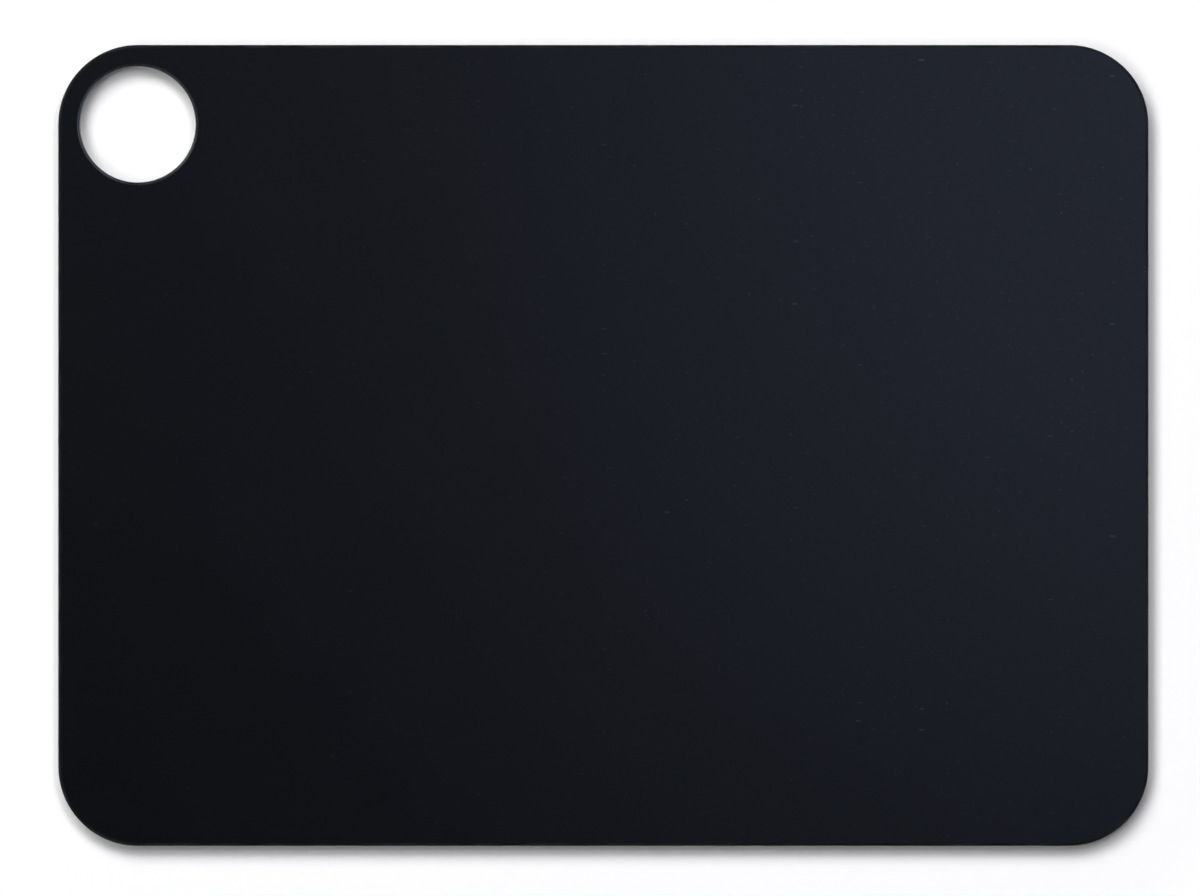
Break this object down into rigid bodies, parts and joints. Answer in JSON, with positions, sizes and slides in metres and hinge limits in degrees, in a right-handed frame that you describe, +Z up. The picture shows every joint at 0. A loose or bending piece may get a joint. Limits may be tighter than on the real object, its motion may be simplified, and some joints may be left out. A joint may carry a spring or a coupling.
{
  "type": "composite cutting board",
  "caption": "Thin flat cutting board of pressed paper composite, black, with rounded corners, eased edges on both faces and a round hanging hole in one corner.",
  "frame": {"origin": "on the rest face, below the middle of the board's outline", "axes": "+X along the length, +Y across the width towards the side with the hanging hole, +Z up out of the work face; the hole is in the -X +Y corner"},
  "size_m": [0.377, 0.277, 0.0065],
  "materials": {
    "face_sheet": "satin",
    "core_sheet": "matte, machined"
  },
  "bodies": {
    "root": {"bottom_face_sheet": "face_sheet", "core_sheet_01": "core_sheet", "core_sheet_02": "core_sheet", "core_sheet_03": "core_sheet", "core_sheet_04": "core_sheet", "core_sheet_05": "core_sheet", "core_sheet_06": "core_sheet", "core_sheet_07": "core_sheet", "core_sheet_08": "core_sheet", "core_sheet_09": "core_sheet", "core_sheet_10": "core_sheet", "core_sheet_11": "core_sheet", "core_sheet_12": "core_sheet", "core_sheet_13": "core_sheet", "core_sheet_14": "core_sheet", "core_sheet_15": "core_sheet", "core_sheet_16": "core_sheet", "core_sheet_17": "core_sheet", "core_sheet_18": "core_sheet", "core_sheet_19": "core_sheet", "core_sheet_20": "core_sheet", "core_sheet_21": "core_sheet", "core_sheet_22": "core_sheet", "core_sheet_23": "core_sheet", "core_sheet_24": "core_sheet", "top_face_sheet": "face_sheet"}
  },
  "joints": []
}
